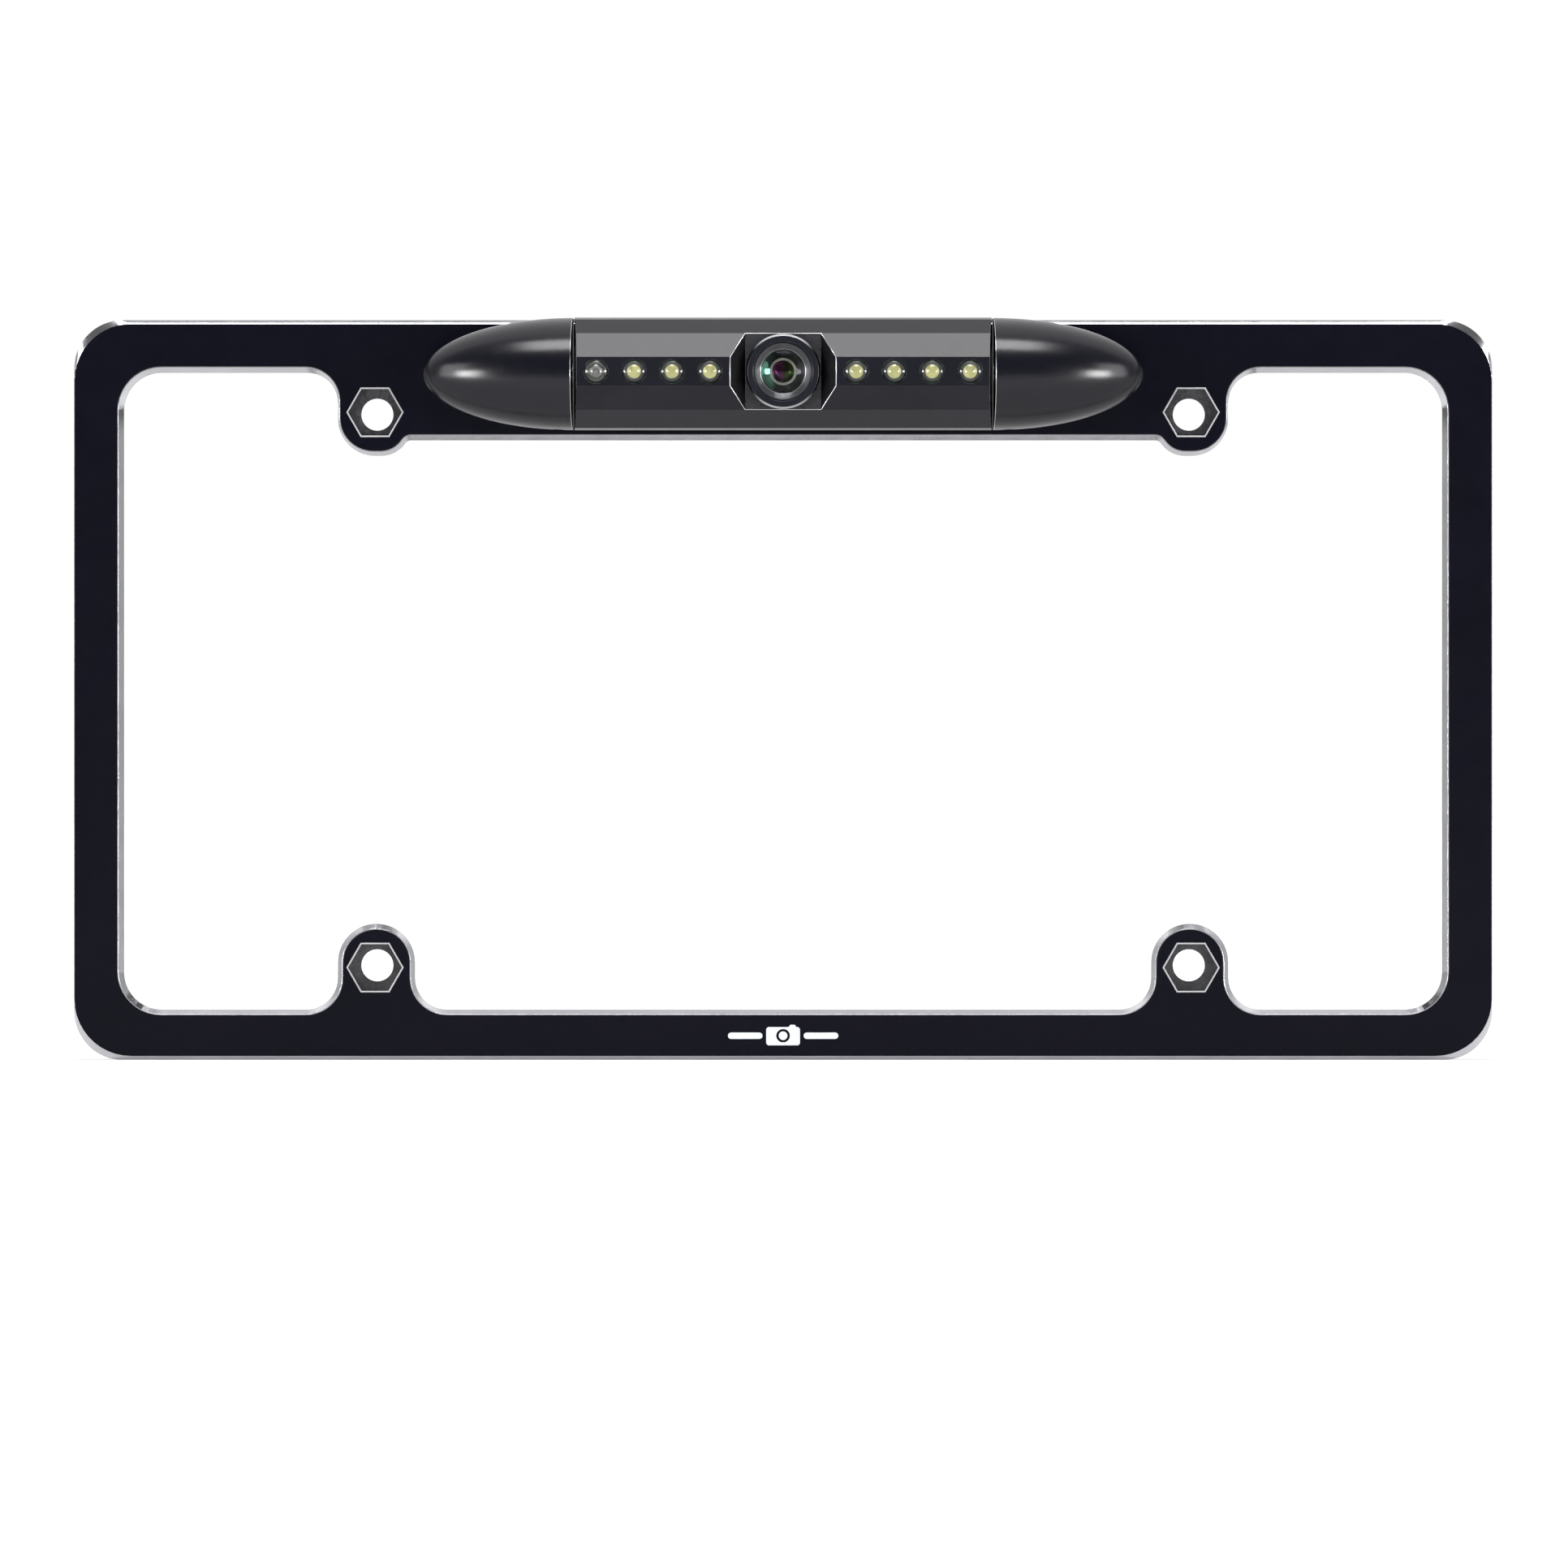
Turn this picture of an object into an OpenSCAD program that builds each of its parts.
// Licence plate frame with a tilting backup camera in its top bar.
// The modules draw the part lying on its back: x across the plate, y up the plate, z towards the viewer.
// stand() then sets it upright, with its front facing -Y. The origin is the centre of the four plate
// bolts, on the plane where the licence plate lies.

/* [Plate frame] */
// Width over the outer edges
frame_w = 310.7; // [309:0.1:313]
// Height over the outer edges
frame_h = 162.1; // [161:0.1:164]
// Radius of the outer corners
frame_r = 10.7; // [9:0.1:13]
// Thickness of the casting in front of the plate seat
casting_t = 5.4; // [5:0.1:7]
// Depth of the rim that stands behind the plate seat
rim_d = 1.5; // [1:0.1:3]
// Thickness of the casting's walls
wall = 1.6; // [1.4:0.1:2]
// Thickness of the ribs across the hollow back
rib_t = 1.2; // [1:0.1:2]
// Thickness of the black face panel
panel_t = 0.6; // [0.4:0.1:1]
// Width of the shallow bright facet between the bevels and the face panel
ledge = 0.2; // [0.1:0.05:0.3]
// Drop of that facet
ledge_drop = 0.1; // [0.05:0.01:0.15]
// Depth of the bevel round the inner edges
bevel_d = 1.1; // [0.8:0.1:1.4]
// Width of the bevel along the outer top and bottom edges
outer_bevel = 0.65; // [0.4:0.05:1]
// Corner radius of the face panel
panel_r = 12.4; // [11:0.1:14]

/* [Plate bolts] */
// Distance between the bolt holes across the plate
bolt_dx = 177.8; // [177.8]
// Distance between the bolt holes up the plate
bolt_dy = 120.65; // [120.65]
// Diameter of the bolt holes
bolt_hole = 7; // [6.5:0.1:7.5]
// Width across flats of the hexagonal recesses
hex_af = 10.85; // [10.6:0.05:11.2]
// How far each recess sits outwards of its hole, each way
hex_shift = 0.5; // [0:0.1:0.5]
// Width of the bright bead round each recess
hex_bead = 0.3; // [0.2:0.01:0.4]
// Height of that bead over the face
bead_h = 0.08; // [0.05:0.01:0.12]
// Depth of the recess below the face
hex_depth = 1.8; // [1.2:0.1:2.2]

/* [Window] */
// Half width of the opening
win_x = 144.4; // [143:0.1:145]
// Height of the opening's upper corners
win_top = 69.5; // [69:0.1:70]
// Depth of the opening's lower edge
win_bottom = 70.0; // [69.5:0.1:70.5]
// Height of the lower edge of the camera bar
bar_edge = 54.7; // [54:0.1:55]
// Half width of the lower bolt tabs
tab_half = 8.45; // [8.2:0.05:8.8]
// Where the lower bolt tabs stand
tab_x = 89.1; // [88.9:0.1:89.5]
// Height of the crowns of the lower tabs
tab_top = -51.2; // [-52:0.1:-51]
// Outer side of the upper bolt lobes
lobe_side = 97.5; // [97.2:0.1:98]
// Lowest level of the upper bolt lobes
lobe_low = 51.3; // [51:0.1:51.6]
// Width of a lobe's low side, from its outer side
lobe_w = 12.6; // [12.4:0.1:12.8]
// Distance along the bar from a lobe's outer side to where the lobe runs out
lobe_reach = 15.2; // [15:0.1:15.4]
// Radius of the opening's four outer corners
win_r = 8.2; // [8:0.1:8.4]
// Radius at the foot of the lower tabs
tab_foot_r = 7; // [6.8:0.1:7.2]
// Radius above the upper lobes
lobe_top_r = 6.7; // [6.5:0.1:6.9]
// Radius of a lobe's outer corner
lobe_outer_r = 8; // [7.8:0.1:8.2]
// Radius of a lobe's inner corner
lobe_inner_r = 6.5; // [6.3:0.1:6.7]

/* [Camera bar] */
// Height of the tilt axis
bar_y = 69.13; // [68.8:0.01:69.4]
// Height of the lens axis
lens_y = 69.6; // [69.4:0.01:69.8]
// Distance from the face to the tilt axis
axis_over_face = 10.9; // [10.7:0.1:11.5]
// Distance from the tilt axis to the lamp strip
front_reach = 12.3; // [12.2:0.1:12.4]
// Half height of the flat lamp strip
strip_half = 3.15; // [3:0.05:3.3]
// Height of the edge between the first and the second facet
facet_half = 8.4; // [8.3:0.05:8.5]
// Height of the barrel's top above the lens axis
barrel_top = 11.86; // [11.7:0.01:11.9]
// Depth of the barrel's bottom below the lens axis
barrel_low = 12.77; // [12.6:0.01:12.8]
// Height of the steep facet along the barrel's top and bottom edges
edge_h = 0.45; // [0.3:0.05:0.6]
// Tilt of that facet, in degrees
edge_tilt = 78; // [74:1:80]
// Wall of the barrel
shell_t = 1.8; // [1.5:0.1:2]
// Half length of the barrel at its back
barrel_half = 45.65; // [45.5:0.01:45.7]
// Half length of the barrel along its lamp strip
strip_len = 45.2; // [45.1:0.01:45.3]
// Where the end caps begin
cap_start = 45.95; // [45.9:0.01:46.1]
// How far the front of the cap's end face leans away from the barrel
cap_lean = 0.6; // [0.3:0.05:0.7]
// Length of the cap's bullet nose
cap_len = 33; // [30:0.5:34]
// Radius of the end caps
cap_r = 12.28; // [12.2:0.01:12.35]

/* [Lamps] */
// Distance of the first lamp from the lens axis
lamp_first = 16.0; // [15.9:0.05:16.1]
// Distance between lamps
lamp_pitch = 8.3; // [8.25:0.01:8.3]
// Radius of a lamp body
lamp_r = 2.5; // [2.4:0.05:2.5]
// Radius of the lamp holes
lamp_hole_r = 2.68; // [2.6:0.02:2.7]
// How far the lamps stand out of the strip
lamp_out = 1.6; // [1.2:0.1:2]

/* [Pivot] */
// Radius of the pivot pins
pin_r = 2.5; // [2.5]
// Running clearance round the pins
pin_clear = 0.05; // [0.03:0.01:0.08]
// Bore of the hollow pin and the grommet, for the lead
lead_r = 1.6; // [1.4:0.1:1.6]

/* [Hidden] */
$fn = 72;

face_z = casting_t + panel_t;
hollow_z = casting_t - wall; // floor of the hollow back
axis_z = face_z + axis_over_face;
front_z = axis_z + front_reach;
split_z = axis_z - 2; // where the barrel's two shells meet
gasket_t = 0.6;
trough_r = 13.2;
middle_floor = 1.7; // how far the hollow reaches in behind the barrel's trough
middle_half = 47;
past = 1; // how far a cutter runs past what it cuts
hair = 0.05; // gap between pieces that fit together

// Corners of the right half of the window, from the bottom middle round to the top middle: [x, y, radius].
CORNERS = [[tab_x - tab_half, -win_bottom, tab_foot_r], [tab_x - tab_half, tab_top, tab_half - hair],
  [tab_x + tab_half, tab_top, tab_half - hair], [tab_x + tab_half, -win_bottom, tab_foot_r],
  [win_x, -win_bottom, win_r], [win_x, win_top, win_r], [lobe_side, win_top, lobe_top_r],
  [lobe_side, lobe_low, lobe_outer_r], [lobe_side - lobe_w, lobe_low, lobe_inner_r],
  [lobe_side - lobe_reach, bar_edge, 1.5]];
// Bevel widths of the edges that lead to those corners, and of the edge that leaves the last one.
BEVELS = [1.05, 0.95, 1.1, 0.95, 1.05, 1.25, 1.15, 0.3, 0.9, 0.95, 1.1];
arc_steps = 10;
box_steps = 16;

// ---- Outlines with rounded corners ----

function count() = 2 * len(CORNERS);
function corner(k) = let (n = len(CORNERS), i = k % (2 * n), c = CORNERS[i < n ? i : 2 * n - 1 - i])
  [i < n ? c[0] : -c[0], c[1], c[2]];
function edge_bevel(k) = let (n = len(CORNERS)) k < n ? BEVELS[k + 1] : BEVELS[2 * n - 1 - k];
function point(c) = [c[0], c[1]];
function unit(v) = v / norm(v);
function outward(d) = [d[1], -d[0]];
function turn(a, b) = a[0] * b[1] - a[1] * b[0];
function moved(p, m, n, a, b) = p + (a * outward(n) - b * outward(m)) / turn(m, n);

// The arc that rounds a corner p between the directions u and v.
function rounded(p, u, v, r, steps) =
  let (side = sign(turn(u, v)), angle = acos(u * v), first = p - u * r * tan(angle / 2),
    centre = first - side * r * outward(u), from = first - centre, start = atan2(from[1], from[0]))
  [for (i = [0:steps]) let (a = start + side * angle * i / steps) centre + r * [cos(a), sin(a)]];

// The window's outline, with each edge moved out by its bevel times share, plus grow.
function window_path(share, grow) = [for (k = [0:count() - 1])
  let (before = corner(k + count() - 1), here = corner(k), next = corner(k + 1),
    u = unit(point(here) - point(before)), v = unit(point(next) - point(here)),
    a = edge_bevel((k + count() - 1) % count()) * share + grow, b = edge_bevel(k) * share + grow,
    p = moved(point(here), outward(u), outward(v), a, b),
    r = max(0.3, here[2] + sign(turn(u, v)) * (a + b) / 2))
  each rounded(p, u, v, r, arc_steps)];

function at(ring, z) = [for (p = ring) [p[0], p[1], z]];
function backwards(list) = [for (i = [len(list) - 1:-1:0]) list[i]];

// The outline of a rounded box, the same number of points for every size.
function box_path(w, h, r) = let (x = w / 2, y = h / 2, c = [[x, -y], [x, y], [-x, y], [-x, -y]])
  [for (k = [0:3]) let (u = unit(c[k] - c[(k + 3) % 4]), v = unit(c[(k + 1) % 4] - c[k]))
    each rounded(c[k], u, v, r, box_steps)];

// A solid through rings of points, from the lowest to the highest.
module through(rings) {
  n = len(rings[0]);
  top = (len(rings) - 1) * n;
  sides = [for (ring = [0:len(rings) - 2], i = [0:n - 1], half = [0, 1])
    let (j = (i + 1) % n, a = ring * n, b = a + n)
    half == 0 ? [a + i, b + i, b + j] : [a + i, b + j, a + j]];
  polyhedron([for (ring = rings) each ring],
    concat([[for (i = [0:n - 1]) i]], [[for (i = [n - 1:-1:0]) top + i]], sides));
}

module rounded_box(w, h, r) {
  square([w, h - 2 * r], center = true);
  square([w - 2 * r, h], center = true);
  for (x = [-1, 1], y = [-1, 1]) translate([x * (w / 2 - r), y * (h / 2 - r)]) circle(r);
}

module slab(low, high) {
  translate([0, 0, low]) linear_extrude(high - low) children();
}

module stand() {
  rotate([90, 0, 0]) children();
}

module at_bolts() {
  for (x = [-1, 1], y = [-1, 1]) translate([x * bolt_dx / 2, y * bolt_dy / 2]) children();
}

module hexagons(af) {
  for (x = [-1, 1], y = [-1, 1])
    translate([x * (bolt_dx / 2 + hex_shift), y * (bolt_dy / 2 + hex_shift)]) circle(af / sqrt(3), $fn = 6);
}

// A bar of the given radius along x, from a to b, on the tilt axis.
module on_axis(r, a, b) {
  translate([a, bar_y, axis_z]) rotate([0, 90, 0]) cylinder(r = r, h = b - a);
}

// ---- Frame ----

cap_screw_near = [52.2, bar_y - 4.2];
cap_screw_far = [65, bar_y];
cap_screw_r = 1.5;
screw_clear = 0.2;
grommet_at = [-57.2, bar_y + 2.2];
grommet_neck_r = 3.2;
boss_r = 6.6; // round the plate bolts
bottom_ribs = [22, 66, 110, 130];
top_ribs = [80, 114, 136];
side_rib_pitch = 24;

module at_cap_screws() {
  for (x = [-1, 1], p = [cap_screw_near, cap_screw_far]) translate([x * p[0], p[1]]) children();
}

module window_cutter() {
  low = window_path(0, 0);
  over = 0.3;
  through([at(low, -rim_d - past), at(low, casting_t - bevel_d),
    at(window_path(1 + over / bevel_d, 0), casting_t + over)]);
}

// Ribs across the hollow back, as long as the rails are wide.
module ribs() {
  for (side = [-1, 1]) {
    for (x = bottom_ribs) translate([side * x, -frame_h / 2]) square([rib_t, 40], center = true);
    for (x = top_ribs) translate([side * x, frame_h / 2]) square([rib_t, 60], center = true);
    for (i = [-2:2]) translate([side * frame_w / 2, i * side_rib_pitch]) square([40, rib_t], center = true);
  }
}

module hollow_plan() {
  difference() {
    rounded_box(frame_w - 2 * wall, frame_h - 2 * wall, frame_r - wall);
    polygon(window_path(0, wall));
    at_bolts() circle(boss_r);
    ribs();
  }
}

module middle_plan() {
  translate([0, frame_h / 2]) square([2 * middle_half, frame_h], center = true);
}

// The casting's outside, with its bevel along the top and bottom and round the corners.
module casting_body() {
  outline = box_path(frame_w, frame_h, frame_r);
  front_h = frame_h - 2 * outer_bevel;
  through([at(outline, -rim_d), at(outline, casting_t - outer_bevel),
    at(box_path(frame_w, front_h, panel_r), casting_t - ledge_drop),
    at(box_path(frame_w - ledge, front_h - 2 * ledge, panel_r), casting_t)]);
}

module hex_cones(af_low, af_high, low, high) {
  for (x = [-1, 1], y = [-1, 1])
    translate([x * (bolt_dx / 2 + hex_shift), y * (bolt_dy / 2 + hex_shift), low])
      cylinder(r1 = af_low / sqrt(3), r2 = af_high / sqrt(3), h = high - low, $fn = 6);
}

module plate_frame() {
  bead_flat = 0.04;
  recess_af = hex_af - 2 * hex_bead - bead_flat;
  color("silver") stand() difference() {
    union() {
      difference() {
        casting_body();
        window_cutter();
        slab(-rim_d - past, 0) rounded_box(frame_w - 2 * wall, frame_h - 2 * wall, frame_r - wall);
        slab(-past, hollow_z) difference() {
          hollow_plan();
          middle_plan();
        }
        slab(-past, middle_floor) intersection() {
          hollow_plan();
          middle_plan();
        }
      }
      slab(casting_t - past, face_z) hexagons(hex_af);
      hex_cones(hex_af, hex_af - hex_bead, face_z, face_z + bead_h);
    }
    slab(face_z - hex_depth, face_z) hexagons(recess_af);
    hex_cones(recess_af, recess_af + 2 * hex_bead, face_z, face_z + 2 * bead_h);
    slab(-past, face_z + past) at_bolts() circle(bolt_hole / 2);
    slab(-past, face_z) at_cap_screws() circle(cap_screw_r + screw_clear);
    slab(-past, face_z) translate(grommet_at) circle(grommet_neck_r);
    on_axis(trough_r, -cap_start, cap_start);
  }
}

module face_panel() {
  color([0.08, 0.08, 0.11]) stand() difference() {
    slab(casting_t, face_z) difference() {
      rounded_box(frame_w - ledge, frame_h - 2 * (outer_bevel + ledge), panel_r);
      polygon(window_path(1, ledge));
      hexagons(hex_af + 2 * hair);
      at_cap_screws() circle(cap_screw_r + screw_clear);
      translate(grommet_at) circle(grommet_neck_r + hair);
    }
    on_axis(trough_r, -cap_start, cap_start);
  }
}

// ---- End caps, drawn for the right side ----

cap_centre = 45.8;
cap_wall = 2.1;
cap_inner_start = 49.6; // inner face of the wall next to the barrel
cap_boss_r = 3;
foot_r = 8.7; // half width of the foot on the face panel
foot_wall = 1.3;
foot_end = 59.5; // centre of the foot's round end
lock_x = 49.2;
lock_r = 1.5;
lock_boss_r = 2.9;
pin_boss_r = 4.6;
pin_boss_end = 52.4;

// A half ellipsoid along x, from the cap's start to its nose.
module bullet(a, b, steps) {
  nose = [for (i = [0:steps]) let (t = 90 * i / steps) [b * cos(t), a * sin(t)]];
  translate([cap_centre, bar_y, axis_z]) rotate([0, 90, 0]) rotate_extrude()
    polygon(concat([[0, -2], [b, -2]], nose));
}

module foot(r, from) {
  slab(face_z, axis_z) {
    translate([from, bar_y - r]) square([foot_end - from, 2 * r]);
    translate([foot_end, bar_y]) circle(r);
  }
}

// Everything on the barrel's side of the cap's leaning end face.
module before_cap() {
  far = 40;
  translate([0, bar_y + far / 2, 0]) rotate([90, 0, 0]) linear_extrude(far)
    polygon([[0, -far], [cap_start, -far], [cap_start, axis_z],
      [cap_start + cap_lean * far / front_reach, axis_z + far], [0, axis_z + far]]);
}

module end_cap() {
  boss_top = axis_z - 4;
  difference() {
    union() {
      difference() {
        union() {
          bullet(cap_len, cap_r, 30);
          foot(foot_r, cap_centre);
        }
        intersection() {
          union() {
            bullet(cap_len - cap_wall, cap_r - cap_wall, 16);
            foot(foot_r - foot_wall, cap_inner_start);
          }
          translate([cap_inner_start, 0, 0]) cube([cap_len, 2 * bar_y, 2 * front_z]);
        }
      }
      on_axis(pin_boss_r, cap_inner_start - past, pin_boss_end);
      slab(face_z, boss_top) {
        translate(cap_screw_near) circle(cap_boss_r);
        translate(cap_screw_far) circle(cap_boss_r);
      }
      translate([lock_x, bar_y, axis_z]) rotate([90, 0, 0]) cylinder(r = lock_boss_r, h = cap_r - past);
    }
    before_cap();
    slab(-past, face_z) square(frame_w, center = true);
    on_axis(pin_r + pin_clear, cap_start - past, pin_boss_end + past);
    translate([lock_x, bar_y, axis_z]) rotate([90, 0, 0]) cylinder(r = lock_r, h = cap_r + past);
    slab(face_z - past, boss_top - past) {
      translate(cap_screw_near) circle(cap_screw_r);
      translate(cap_screw_far) circle(cap_screw_r);
    }
  }
}

module left_end_cap() {
  color([0.12, 0.12, 0.14]) stand() mirror([1, 0, 0]) end_cap();
}

module right_end_cap() {
  color([0.12, 0.12, 0.14]) stand() end_cap();
}

// A screw with a cross recess, its head below the seat and its shank up to the tip.
module cross_screw(seat, tip, shank_r, head_r, head_t) {
  recess = head_t / 2;
  difference() {
    union() {
      slab(seat - head_t, seat) circle(head_r);
      slab(seat - recess, tip) circle(shank_r);
    }
    for (a = [0, 90]) rotate(a) slab(seat - head_t - past, seat - recess)
      square([1.1 * head_r, 0.26 * head_r], center = true);
  }
}

module cap_screws() {
  color("silver") stand() at_cap_screws() cross_screw(hollow_z, axis_z - 5.5, cap_screw_r, 2.75, 1.8);
}

module tilt_lock_screws() {
  tip = pin_r + 2 * hair;
  end = cap_r - 1.2;
  socket_r = 0.9;
  socket_d = 2;
  color("gray") stand() for (x = [-1, 1])
    translate([x * lock_x, bar_y, axis_z]) rotate([90, 0, 0]) difference() {
      translate([0, 0, tip]) cylinder(r = lock_r, h = end - tip);
      translate([0, 0, end - socket_d]) cylinder(r = socket_r, h = socket_d + past, $fn = 6);
    }
}

module friction_washers() {
  washer_r = 6;
  inner = plate_out + hair;
  color("dimgray") stand() for (x = [0, 1]) mirror([x, 0, 0]) difference() {
    on_axis(washer_r, inner, cap_start - hair);
    on_axis(pin_r + 2 * hair, inner - past, cap_start + past);
  }
}

module cable_grommet() {
  flange_r = 4.2;
  flange_t = 1.2;
  color([0.1, 0.1, 0.1]) stand() translate(grommet_at) difference() {
    union() {
      slab(hollow_z - flange_t, hollow_z) circle(flange_r);
      slab(hollow_z - flange_t / 2, face_z + flange_t / 2) circle(grommet_neck_r);
      slab(face_z, face_z + flange_t) circle(flange_r);
    }
    slab(0, face_z + 2 * flange_t) circle(lead_r);
  }
}

// ---- Barrel shells ----

// Depth of the barrel's surface behind its lamp strip, at a height y from the lens axis.
function facet_depth(y) = y <= strip_half ? 0
  : y <= facet_half ? (y - strip_half) * tan(30)
  : (facet_half - strip_half) * tan(30) + (y - facet_half) * tan(60);

// The same with the steep facet that leads to the barrel's top or bottom, at the height end.
function outer_depth(y, end) = let (start = end - edge_h)
  facet_depth(min(y, start)) + max(0, y - start) * tan(edge_tilt);

// The barrel's section as [height from the lens axis, depth behind the strip].
barrel_section = let (deep = 2 * front_reach,
    ys = [-barrel_low, edge_h - barrel_low, -facet_half, -strip_half, strip_half, facet_half,
      barrel_top - edge_h, barrel_top],
    front = [for (y = ys) [y, outer_depth(abs(y), y < 0 ? barrel_low : barrel_top)]])
  concat(front, [for (p = backwards(front)) [p[0], deep - p[1]]]);

// A closed path with every edge moved inwards by t.
function inset(path, t) = [for (i = [0:len(path) - 1])
  let (n = len(path), u = unit(path[i] - path[(i + n - 1) % n]), v = unit(path[(i + 1) % n] - path[i]),
    in = turn(u, v) > 0 ? -t : t)
  moved(path[i], outward(u), outward(v), in, in)];

// A prism of a section between two places along x.
module along(path, a, b) {
  translate([a, lens_y, front_z]) rotate([90, 0, 90]) linear_extrude(b - a)
    polygon([for (p = path) [p[0], -p[1]]]);
}

// The barrel's length, shorter along the strip than at the back.
module barrel_span() {
  far = 60;
  lean = (barrel_half - strip_len) * (far - axis_z) / front_reach;
  translate([0, bar_y + far / 2, 0]) rotate([90, 0, 0]) linear_extrude(far)
    polygon([[-barrel_half, 0], [barrel_half, 0], [barrel_half, axis_z], [barrel_half - lean, far],
      [lean - barrel_half, far], [-barrel_half, axis_z]]);
}

module barrel_slice(low, high) {
  translate([0, bar_y, (low + high) / 2]) cube([4 * barrel_half, 60, high - low], center = true);
}

cover_screw_x = 28;
cover_screw_y = [7.3, -7.9];
cover_screw_r = 1;
cover_head_r = 1.9;
cover_boss_r = 2.3;
screw_seat_z = 9.7;
barrel_over = 50; // half length of a section before its ends are cut
pocket_half = 8.3;
pocket_mouth = 11.6;
pocket_block = 13;
pocket_depth = facet_depth(facet_half);

module at_cover_screws() {
  for (x = [-1, 1], y = cover_screw_y) translate([x * cover_screw_x, lens_y + y]) children();
}

module lamp_places(from, to) {
  for (i = [from:to])
    translate([(i < 4 ? -1 : 1) * (lamp_first + lamp_pitch * (i < 4 ? 3 - i : i - 4)), lens_y]) children();
}

module pocket_cutter() {
  slope = (pocket_mouth - pocket_half) / pocket_depth;
  over = 2;
  side = [[pocket_half, -12], [pocket_half, -pocket_depth], [pocket_mouth + over * slope, over]];
  translate([0, lens_y + pocket_half, front_z]) rotate([90, 0, 0]) linear_extrude(2 * pocket_half)
    polygon(concat(side, [for (p = backwards(side)) [-p[0], p[1]]]));
}

module front_shell() {
  block_z = front_z - 5.2; // back of the block round the camera's pocket
  boss_top = front_z - 6.4;
  color([0.2, 0.2, 0.23]) stand() difference() {
    union() {
      intersection() {
        difference() {
          along(barrel_section, -barrel_over, barrel_over);
          along(inset(barrel_section, shell_t), -barrel_over - past, barrel_over + past);
        }
        barrel_span();
        barrel_slice(split_z, front_z + past);
      }
      intersection() {
        along(barrel_section, -pocket_block, pocket_block);
        barrel_slice(block_z, front_z + past);
      }
      slab(split_z, boss_top) at_cover_screws() circle(cover_boss_r);
    }
    pocket_cutter();
    slab(front_z - 8, front_z + past) lamp_places(0, 7) circle(lamp_hole_r);
    slab(split_z - past, boss_top - past) at_cover_screws() circle(cover_screw_r);
  }
}

module rear_cover() {
  back_z = front_z - 2 * front_reach;
  color([0.15, 0.15, 0.17]) stand() difference() {
    intersection() {
      union() {
        difference() {
          along(barrel_section, -barrel_over, barrel_over);
          along(inset(barrel_section, shell_t), -barrel_over - past, barrel_over + past);
        }
        slab(back_z, split_z) at_cover_screws() circle(cover_boss_r + 0.6);
      }
      along(barrel_section, -barrel_over, barrel_over);
      barrel_span();
      barrel_slice(back_z - past, split_z - gasket_t);
    }
    slab(back_z - past, split_z) at_cover_screws() circle(cover_screw_r + 2 * hair);
    slab(back_z - past, screw_seat_z) at_cover_screws() circle(cover_head_r + screw_clear);
  }
}

// Eyes round the cover screws, joined to the strips of the gasket.
module gasket_eyes() {
  eye_r = 2.2;
  at_cover_screws() circle(eye_r);
  for (x = [-1, 1], y = cover_screw_y)
    translate([x * cover_screw_x, lens_y + y + sign(y) * eye_r]) square([eye_r, 3], center = true);
}

module cover_gasket() {
  gasket_back = 0.25; // how far its edge lies inside the barrel's surface
  color([0.1, 0.1, 0.1]) stand() difference() {
    intersection() {
      union() {
        difference() {
          along(inset(barrel_section, gasket_back), -barrel_over, barrel_over);
          along(inset(barrel_section, shell_t), -barrel_over - past, barrel_over + past);
        }
        slab(split_z - 2 * gasket_t, split_z + gasket_t) gasket_eyes();
      }
      barrel_span();
      barrel_slice(split_z - gasket_t, split_z);
    }
    slab(split_z - past, split_z + past) at_cover_screws() circle(cover_screw_r + 2 * hair);
  }
}

module cover_screws() {
  color("silver") stand() at_cover_screws()
    cross_screw(screw_seat_z, front_z - 7.5, cover_screw_r, cover_head_r, 1.3);
}

// ---- Pivot pieces, drawn for the right side ----

plate_out = 45.1;
plate_in = 43.8;
plate_boss_r = 4.3;
pin_in = 39.8;
pin_end = 52;

module end_plate() {
  difference() {
    union() {
      along(inset(barrel_section, shell_t + hair), plate_in, plate_out);
      on_axis(plate_boss_r, pin_in, plate_in + hair);
    }
    on_axis(pin_r, pin_in - past, plate_out + past);
  }
}

module left_end_plate() {
  color([0.1, 0.1, 0.12]) stand() mirror([1, 0, 0]) end_plate();
}

module right_end_plate() {
  color([0.1, 0.1, 0.12]) stand() end_plate();
}

module pivot_pin() {
  on_axis(pin_r, pin_in, pin_end);
}

module left_pivot_pin() {
  color("silver") stand() mirror([1, 0, 0]) difference() {
    pivot_pin();
    on_axis(lead_r, pin_in - past, pin_end + past);
  }
}

module right_pivot_pin() {
  color("silver") stand() pivot_pin();
}

// ---- Camera module, by depth behind the strip ----

thread_r = 5.9;
barrel_r = 6.25;
glass_r = 4.9;
glass_back = 3.4;
concave_r = 4.2; // of the hollow in the front glass's back
inner_bore = 2.9;
filter_d = 14.2; // back of the lens barrel, where the filter lies
plate_d = pocket_depth + 0.07; // front of the bezel plate

// A turned piece on the lens axis, from its profile as [radius, depth].
module turned(profile) {
  translate([0, lens_y, front_z]) rotate_extrude() polygon([for (p = profile) [p[0], -p[1]]]);
}

// A plate on the lens axis between two depths.
module card(w, h, from, to) {
  translate([0, lens_y, 0]) slab(front_z - to, front_z - from) square([w, h], center = true);
}

// Points of a spherical face from its rim to the axis, with its crown at the given depth.
function dome(r, rim, crown, steps) =
  let (h = rim - crown, ball = (r * r + h * h) / (2 * abs(h)), open = asin(r / ball))
  [for (i = [0:steps]) let (a = open * (1 - i / steps))
    [ball * sin(a), crown + sign(h) * ball * (1 - cos(a))]];

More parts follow.
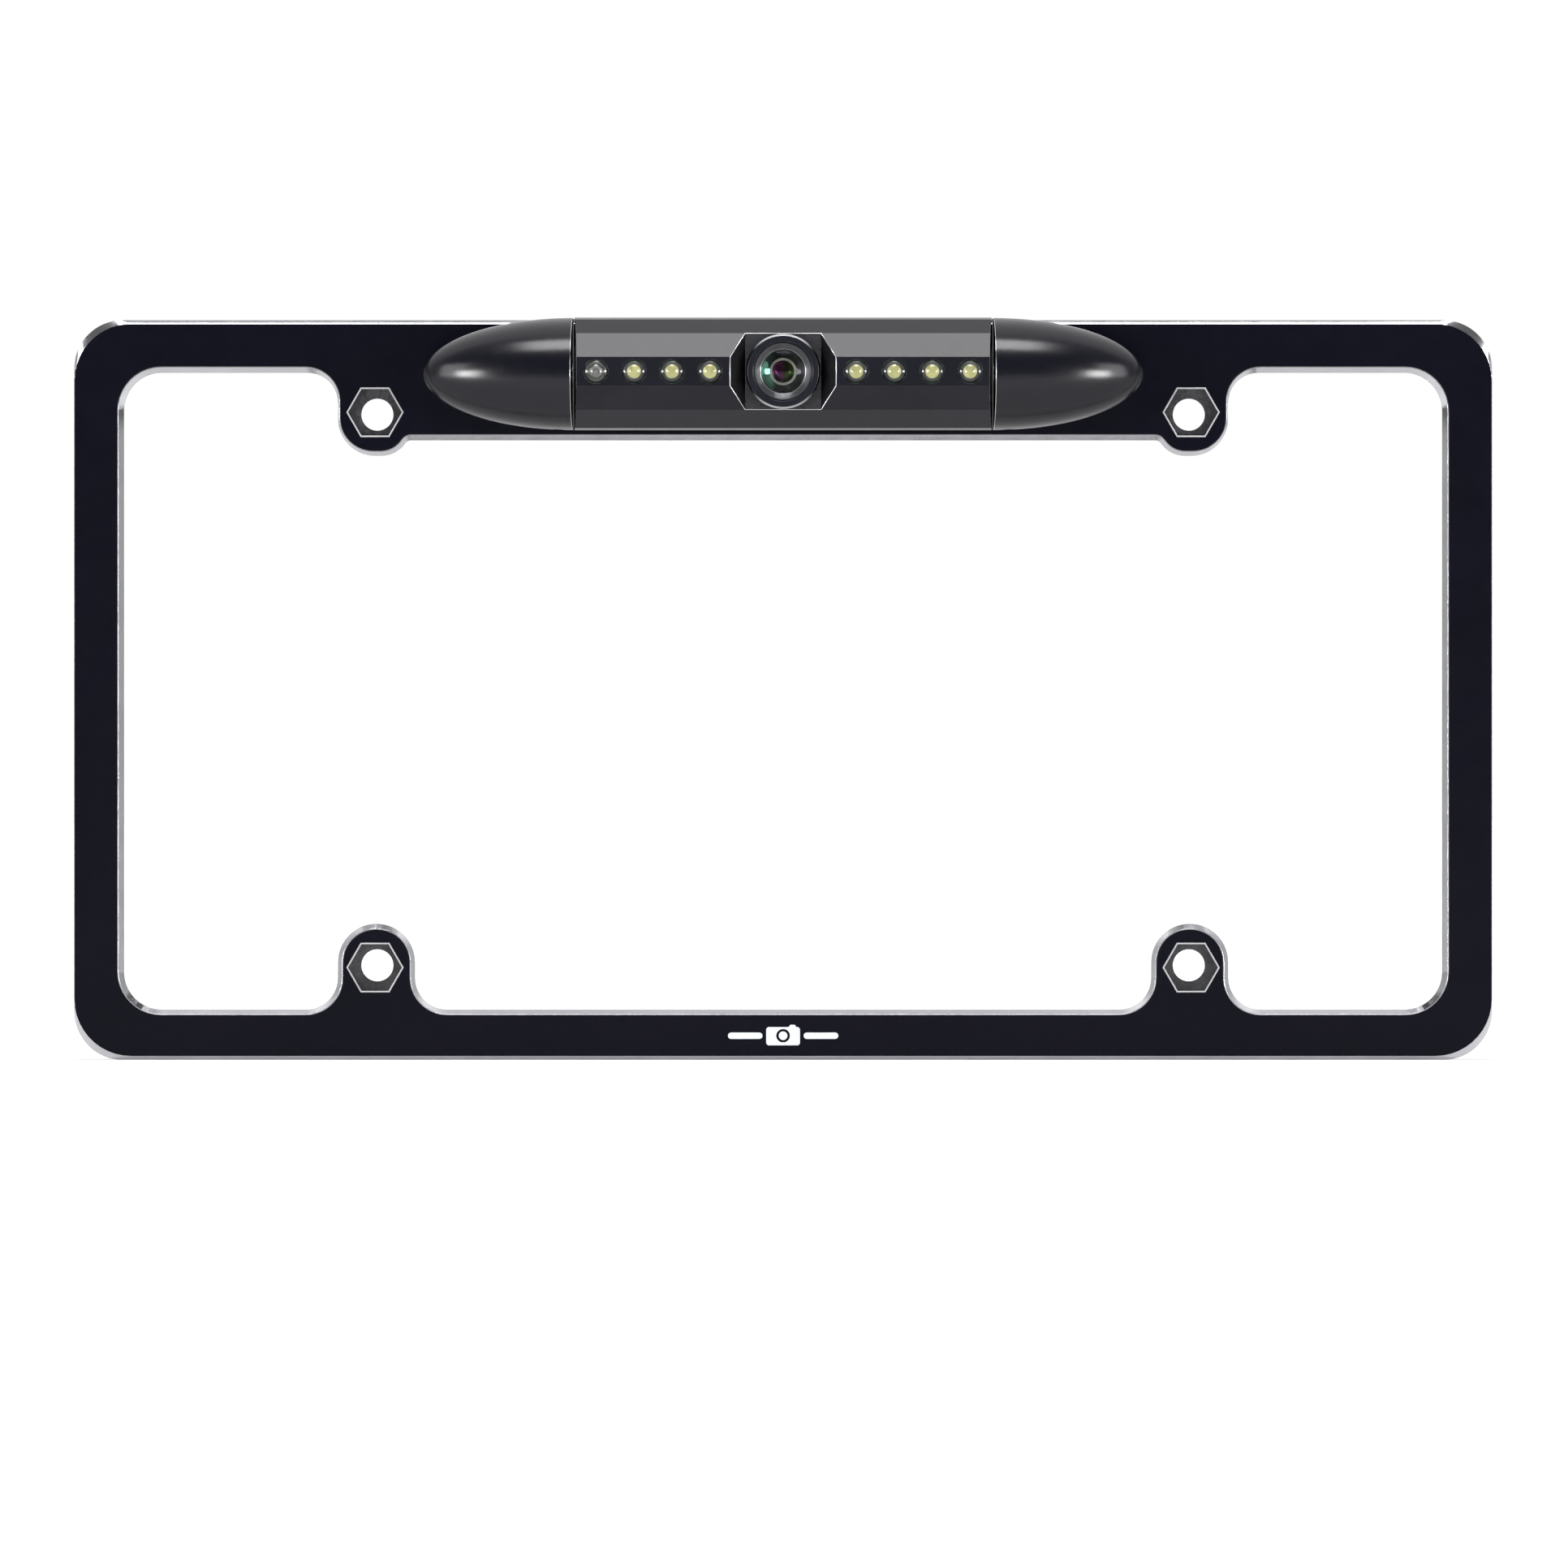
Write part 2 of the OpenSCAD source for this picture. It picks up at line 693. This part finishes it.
module camera_bezel() {
  side = 2 * (pocket_half - hair);
  color([0.2, 0.2, 0.22]) stand() difference() {
    card(side, side, plate_d, plate_d + 2);
    turned([[0, 0], [barrel_r + hair, 0], [barrel_r + hair, 8], [0, 8]]);
  }
}

module lens_guard_ring() {
  ring_in = barrel_r + 2 * hair;
  ring_out = 8.2;
  color([0.12, 0.12, 0.14]) stand()
    turned([[ring_in, plate_d], [ring_out, plate_d], [ring_out, 1.15], [7.8, 0.6], [6.55, 0.6],
      [ring_in, 0.95]]);
}

module lens_barrel() {
  rear_bore = 4;
  stop_bore = 2.2;
  color([0.25, 0.25, 0.27]) stand()
    turned([[barrel_r, 0.9], [barrel_r, 6], [thread_r, 6], [thread_r, filter_d], [rear_bore, filter_d],
      [rear_bore, 11.8], [stop_bore, 11.8], [stop_bore, 9.5], [inner_bore, 9.5], [inner_bore, 5.2],
      [4.4, glass_back], [glass_r + hair, glass_back], [glass_r + hair, 1.9], [6, 0.9]]);
}

module front_glass() {
  color([0.5, 0.8, 0.7, 0.5]) stand()
    turned(concat(dome(glass_r, 2, 0.6, 12), backwards(dome(concave_r, glass_back, 2.2, 8)),
      [[glass_r, glass_back]]));
}

module lens_retaining_ring() {
  color("silver") stand() turned([[2.35, 5.1], [2.85, 5.1], [2.85, 5.8], [2.35, 5.8]]);
}

module inner_lens() {
  rim_r = inner_bore - hair;
  color([0.4, 0.3, 0.5, 0.6]) stand()
    turned(concat(dome(2.3, 5.9, 5.2, 8), [[0, 7.4], [rim_r, 7.4], [rim_r, 5.9]]));
}

module rear_lens() {
  r = 3.95;
  color([0.5, 0.6, 0.6, 0.5]) stand() turned(concat(dome(r, 12.6, 11.9, 8), [[0, 13.8], [r, 13.8]]));
}

module ir_filter() {
  r = 5.1;
  back = filter_d + 0.4;
  color([0.6, 0.4, 0.4, 0.6]) stand() turned([[0, filter_d], [r, filter_d], [r, back], [0, back]]);
}

board_from = 17;
board_to = 18.2;
board_screw_x = 9.6;
board_screw_r = 0.8;

module at_board_screws() {
  for (x = [-1, 1]) translate([x * board_screw_x, lens_y]) children();
}

module lens_mount() {
  ear_t = 2.4;
  seat_r = thread_r + hair / 2;
  color([0.12, 0.12, 0.12]) stand() difference() {
    union() {
      card(14, 14, 8, board_from);
      card(24, 5.6, board_from - ear_t, board_from);
    }
    turned([[0, 7], [seat_r, 7], [seat_r, 15], [0, 15]]);
    card(10.8, 10.8, filter_d, board_from + past);
    slab(front_z - board_from - past, front_z - 10) at_board_screws() circle(board_screw_r);
  }
}

module image_sensor() {
  color([0.1, 0.25, 0.2]) stand() card(8, 7, 15.8, board_from);
}

module camera_board() {
  color([0.05, 0.3, 0.12]) stand() difference() {
    card(26, 15, board_from, board_to);
    slab(0, front_z) at_board_screws() circle(board_screw_r + 2 * hair);
  }
}

module board_screws() {
  seat = front_z - board_to;
  head_r = 1.5;
  head_t = 1;
  color("silver") stand() at_board_screws() {
    slab(seat - head_t, seat) circle(head_r);
    slab(seat - head_t / 2, front_z - board_from + 2) circle(board_screw_r);
  }
}

module board_connector() {
  connector_x = -3.5;
  connector_end = 21.6;
  connector_wall = 0.7;
  color("ivory") stand() translate([connector_x, 0, 0]) difference() {
    card(8, 5, board_to, connector_end);
    card(8 - 2 * connector_wall, 5 - 2 * connector_wall, board_to + 1.2, connector_end + past);
  }
}

// ---- Lamps ----

lamp_base = 6;
lamp_flange_r = 2.85;
lamp_board_t = 1;
lamp_board_from = 13.2;
lamp_board_l = 30.3;
lamp_board_w = 8.4;
cell_d = 1.3; // depth of the emitter's face
cell_t = 1;
emitter_r = 0.95;
cup_r = 0.8;
post_x = 1.45;
post_w = 0.4;
post_from = 1.0;
post_to = 7.8;

module lamp_board() {
  translate([0, lens_y, 0]) slab(front_z - lamp_base - lamp_board_t, front_z - lamp_base)
    translate([lamp_board_from, -lamp_board_w / 2]) square([lamp_board_l, lamp_board_w]);
}

// The two posts of a lamp's lead frame.
module lead_posts(grow = 0) {
  slab(front_z - post_to - grow, front_z - post_from + grow)
    for (x = [-1, 1]) translate([x * post_x, 0]) square(post_w + 2 * grow, center = true);
}

module lamp_body() {
  translate([0, 0, front_z]) {
    intersection() {
      translate([0, 0, lamp_out - lamp_r]) sphere(lamp_r);
      translate([-lamp_r, -lamp_r, lamp_out - lamp_r]) cube(2 * lamp_r);
    }
    translate([0, 0, -lamp_base]) cylinder(r = lamp_r, h = lamp_base + lamp_out - lamp_r);
    translate([0, 0, -lamp_base]) cylinder(r = lamp_flange_r, h = 1);
  }
}

module cell(r) {
  slab(front_z - cell_d - cell_t, front_z - cell_d) circle(r);
}

module lamp_lens() {
  difference() {
    lamp_body();
    cell(emitter_r);
    lead_posts();
  }
}

module left_lamp_board() {
  color([0.05, 0.3, 0.12]) stand() difference() {
    mirror([1, 0, 0]) lamp_board();
    lamp_places(0, 3) lead_posts(hair);
  }
}

module right_lamp_board() {
  color([0.05, 0.3, 0.12]) stand() difference() {
    lamp_board();
    lamp_places(4, 7) lead_posts(hair);
  }
}

module lamp_lenses() {
  color([0.9, 0.9, 0.9, 0.4]) stand() lamp_places(1, 7) lamp_lens();
}

module lamp_phosphors() {
  color([0.85, 0.85, 0.5]) stand() lamp_places(1, 7) cell(emitter_r);
}

module lamp_leads() {
  color("silver") stand() lamp_places(1, 7) lead_posts();
}

// The bars that join the sensor's cup to its lead posts.
module sensor_bars() {
  slab(front_z - cell_d - 0.9, front_z - cell_d - 0.3)
    for (x = [-1, 1]) translate([x * (cup_r + post_x) / 2, 0])
      square([post_x - cup_r + 2 * hair, post_w], center = true);
}

// The sensor's cup, with a square chip set on its corner, and its two leads.
module sensor_cell() {
  chip = 0.5;
  cup_inner_r = 0.6;
  cup_d = 0.35;
  top = front_z - cell_d;
  difference() {
    cell(cup_r);
    slab(top - cup_d, top + past) difference() {
      circle(cup_inner_r);
      rotate(45) square(chip, center = true);
    }
  }
  lead_posts();
  sensor_bars();
}

module light_sensor_dome() {
  color([0.9, 0.9, 0.9, 0.4]) stand() lamp_places(0, 0) difference() {
    lamp_body();
    cell(cup_r);
    lead_posts();
    sensor_bars();
  }
}

module light_sensor_cell() {
  color([0.6, 0.6, 0.58]) stand() lamp_places(0, 0) sensor_cell();
}

plate_frame();
face_panel();
left_end_cap();
right_end_cap();
cap_screws();
tilt_lock_screws();
friction_washers();
cable_grommet();
front_shell();
rear_cover();
cover_gasket();
cover_screws();
left_end_plate();
right_end_plate();
left_pivot_pin();
right_pivot_pin();
camera_bezel();
lens_guard_ring();
lens_barrel();
front_glass();
lens_retaining_ring();
inner_lens();
rear_lens();
ir_filter();
lens_mount();
image_sensor();
camera_board();
board_screws();
board_connector();
left_lamp_board();
right_lamp_board();
lamp_lenses();
lamp_phosphors();
lamp_leads();
light_sensor_dome();
light_sensor_cell();
